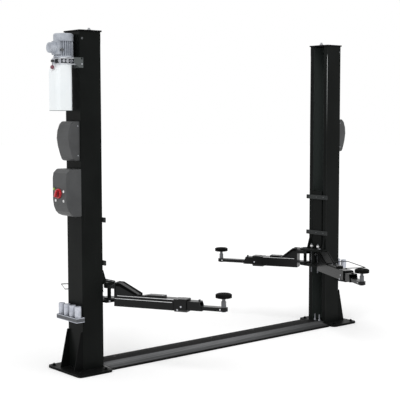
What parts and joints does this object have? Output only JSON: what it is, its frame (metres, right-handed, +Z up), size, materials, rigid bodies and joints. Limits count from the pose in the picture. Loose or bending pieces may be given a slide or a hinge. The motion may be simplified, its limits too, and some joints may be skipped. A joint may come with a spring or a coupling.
{
  "type": "two post car lift",
  "caption": "Two post car lift with open columns, sliding carriages, telescoping swing arms with screw pads, a hydraulic power unit, a control box and a low floor cover.",
  "frame": {"origin": "on the floor, midway between the two columns and on the lift's front to rear centre line", "axes": "+Z up, +X from the power unit's column to the other column, +Y away from the near side, so -Y is the front"},
  "size_m": [3.4825, 2.0883, 2.853],
  "materials": {
    "black_paint": "semi-gloss black paint",
    "guard_rubber": "black rubber strip",
    "grey_cover": "dark grey moulded cover",
    "bracket_grey": "grey painted bracket",
    "light_alloy": "cast light alloy",
    "adapter_zinc": "zinc plated steel",
    "tank_white": "white plastic tank",
    "screw_zinc": "zinc plated screw",
    "pad_rubber": "black rubber pad",
    "rod_steel": "plated rod",
    "lever_knob": "maroon knob",
    "switch_red": "red rotary switch",
    "button_green": "green push button"
  },
  "bodies": {
    "posts": {"left_foot": "black_paint", "right_foot": "black_paint", "left_column": "black_paint", "right_column": "black_paint", "left_top_plate": "black_paint", "right_top_plate": "black_paint", "floor_cover": "black_paint", "power_unit_bracket": "bracket_grey", "valve_block": "light_alloy", "pump_motor": "light_alloy", "oil_tank": "tank_white", "left_lock_cover": "grey_cover", "right_lock_cover": "grey_cover", "control_box": "grey_cover", "left_adapter_rack": "adapter_zinc", "right_adapter_rack": "adapter_zinc"},
    "left_carriage": {"left_carriage": "black_paint", "left_lower_door_guard": "guard_rubber", "left_upper_door_guard": "guard_rubber"},
    "right_carriage": {"right_carriage": "black_paint", "right_lower_door_guard": "guard_rubber", "right_upper_door_guard": "guard_rubber"},
    "left_front_arm_outer": {"left_front_arm_outer": "black_paint"},
    "left_front_arm_middle": {"left_front_arm_middle": "black_paint"},
    "left_front_arm_inner": {"left_front_arm_inner": "black_paint"},
    "left_front_lift_pad": {"left_front_pad_screw": "screw_zinc", "left_front_lift_pad": "pad_rubber"},
    "left_front_lock_rod": {"left_front_lock_rod": "rod_steel"},
    "left_rear_arm_outer": {"left_rear_arm_outer": "black_paint"},
    "left_rear_arm_middle": {"left_rear_arm_middle": "black_paint"},
    "left_rear_arm_inner": {"left_rear_arm_inner": "black_paint"},
    "left_rear_lift_pad": {"left_rear_pad_screw": "screw_zinc", "left_rear_lift_pad": "pad_rubber"},
    "left_rear_lock_rod": {"left_rear_lock_rod": "rod_steel"},
    "right_front_arm_outer": {"right_front_arm_outer": "black_paint"},
    "right_front_arm_middle": {"right_front_arm_middle": "black_paint"},
    "right_front_arm_inner": {"right_front_arm_inner": "black_paint"},
    "right_front_lift_pad": {"right_front_pad_screw": "screw_zinc", "right_front_lift_pad": "pad_rubber"},
    "right_front_lock_rod": {"right_front_lock_rod": "rod_steel"},
    "right_rear_arm_outer": {"right_rear_arm_outer": "black_paint"},
    "right_rear_arm_middle": {"right_rear_arm_middle": "black_paint"},
    "right_rear_arm_inner": {"right_rear_arm_inner": "black_paint"},
    "right_rear_lift_pad": {"right_rear_pad_screw": "screw_zinc", "right_rear_lift_pad": "pad_rubber"},
    "right_rear_lock_rod": {"right_rear_lock_rod": "rod_steel"},
    "lowering_lever": {"lowering_lever": "lever_knob"},
    "main_switch": {"main_switch": "switch_red"},
    "raise_button": {"raise_button": "button_green"}
  },
  "joints": [
    {"name": "left_carriage_lift", "type": "slide", "parent": "posts", "child": "left_carriage", "axis": [0, 0, 1], "range_m": [-0.43, 1.22]},
    {"name": "right_carriage_lift", "type": "slide", "parent": "posts", "child": "right_carriage", "axis": [0, 0, 1], "range_m": [-0.43, 1.22]},
    {"name": "left_front_swing", "type": "hinge", "parent": "left_carriage", "child": "left_front_arm_outer", "pos_m": [-1.29, -0.1, 0.585], "axis": [0, 0, 1], "range_deg": [-28.5, 61.5]},
    {"name": "left_front_middle_slide", "type": "slide", "parent": "left_front_arm_outer", "child": "left_front_arm_middle", "axis": [-0.4772, 0.8788, 0], "range_m": [-0.22, 0.08]},
    {"name": "left_front_inner_slide", "type": "slide", "parent": "left_front_arm_middle", "child": "left_front_arm_inner", "axis": [-0.4772, 0.8788, 0], "range_m": [-0.19, 0.14]},
    {"name": "left_front_pad_screw", "type": "slide", "parent": "left_front_arm_inner", "child": "left_front_lift_pad", "axis": [0, 0, 1], "range_m": [-0.02, 0.03]},
    {"name": "left_front_lock_release", "type": "slide", "parent": "left_carriage", "child": "left_front_lock_rod", "axis": [0, 0, 1], "range_m": [0, 0.04], "stiffness_N_per_m": 200, "springref_m": -0.06},
    {"name": "left_rear_swing", "type": "hinge", "parent": "left_carriage", "child": "left_rear_arm_outer", "pos_m": [-1.29, 0.1, 0.585], "axis": [0, 0, -1], "range_deg": [-25.5, 64.5]},
    {"name": "left_rear_middle_slide", "type": "slide", "parent": "left_rear_arm_outer", "child": "left_rear_arm_middle", "axis": [-0.4305, -0.9026, 0], "range_m": [-0.16, 0.05]},
    {"name": "left_rear_inner_slide", "type": "slide", "parent": "left_rear_arm_middle", "child": "left_rear_arm_inner", "axis": [-0.4305, -0.9026, 0], "range_m": [-0.09, 0.2]},
    {"name": "left_rear_pad_screw", "type": "slide", "parent": "left_rear_arm_inner", "child": "left_rear_lift_pad", "axis": [0, 0, 1], "range_m": [-0.02, 0.03]},
    {"name": "left_rear_lock_release", "type": "slide", "parent": "left_carriage", "child": "left_rear_lock_rod", "axis": [0, 0, 1], "range_m": [0, 0.04], "stiffness_N_per_m": 200, "springref_m": -0.06},
    {"name": "right_front_swing", "type": "hinge", "parent": "right_carriage", "child": "right_front_arm_outer", "pos_m": [1.29, -0.1, 0.622], "axis": [0, 0, -1], "range_deg": [-25, 65]},
    {"name": "right_front_middle_slide", "type": "slide", "parent": "right_front_arm_outer", "child": "right_front_arm_middle", "axis": [0.4226, 0.9063, 0], "range_m": [-0.22, 0.08]},
    {"name": "right_front_inner_slide", "type": "slide", "parent": "right_front_arm_middle", "child": "right_front_arm_inner", "axis": [0.4226, 0.9063, 0], "range_m": [-0.19, 0.14]},
    {"name": "right_front_pad_screw", "type": "slide", "parent": "right_front_arm_inner", "child": "right_front_lift_pad", "axis": [0, 0, 1], "range_m": [-0.02, 0.03]},
    {"name": "right_front_lock_release", "type": "slide", "parent": "right_carriage", "child": "right_front_lock_rod", "axis": [0, 0, 1], "range_m": [0, 0.04], "stiffness_N_per_m": 200, "springref_m": -0.06},
    {"name": "right_rear_swing", "type": "hinge", "parent": "right_carriage", "child": "right_rear_arm_outer", "pos_m": [1.29, 0.1, 0.622], "axis": [0, 0, 1], "range_deg": [-28, 62]},
    {"name": "right_rear_middle_slide", "type": "slide", "parent": "right_rear_arm_outer", "child": "right_rear_arm_middle", "axis": [0.4695, -0.8829, 0], "range_m": [-0.16, 0.05]},
    {"name": "right_rear_inner_slide", "type": "slide", "parent": "right_rear_arm_middle", "child": "right_rear_arm_inner", "axis": [0.4695, -0.8829, 0], "range_m": [-0.09, 0.2]},
    {"name": "right_rear_pad_screw", "type": "slide", "parent": "right_rear_arm_inner", "child": "right_rear_lift_pad", "axis": [0, 0, 1], "range_m": [-0.02, 0.03]},
    {"name": "right_rear_lock_release", "type": "slide", "parent": "right_carriage", "child": "right_rear_lock_rod", "axis": [0, 0, 1], "range_m": [0, 0.04], "stiffness_N_per_m": 200, "springref_m": -0.06},
    {"name": "lowering_lever_turn", "type": "hinge", "parent": "posts", "child": "lowering_lever", "pos_m": [-1.758, 0, 2.5713], "axis": [1, 0, 0], "range_deg": [0, 30], "stiffness_Nm_per_rad": 0.4},
    {"name": "main_switch_turn", "type": "hinge", "parent": "posts", "child": "main_switch", "pos_m": [-1.7053, 0.01, 1.495], "axis": [-1, 0, 0], "range_deg": [0, 90]},
    {"name": "raise_button_press", "type": "slide", "parent": "posts", "child": "raise_button", "axis": [1, 0, 0], "range_m": [0, 0.004], "stiffness_N_per_m": 400}
  ],
  "couplings": [
    {"joint": "right_carriage_lift", "follows": "left_carriage_lift", "ratio": 1}
  ]
}
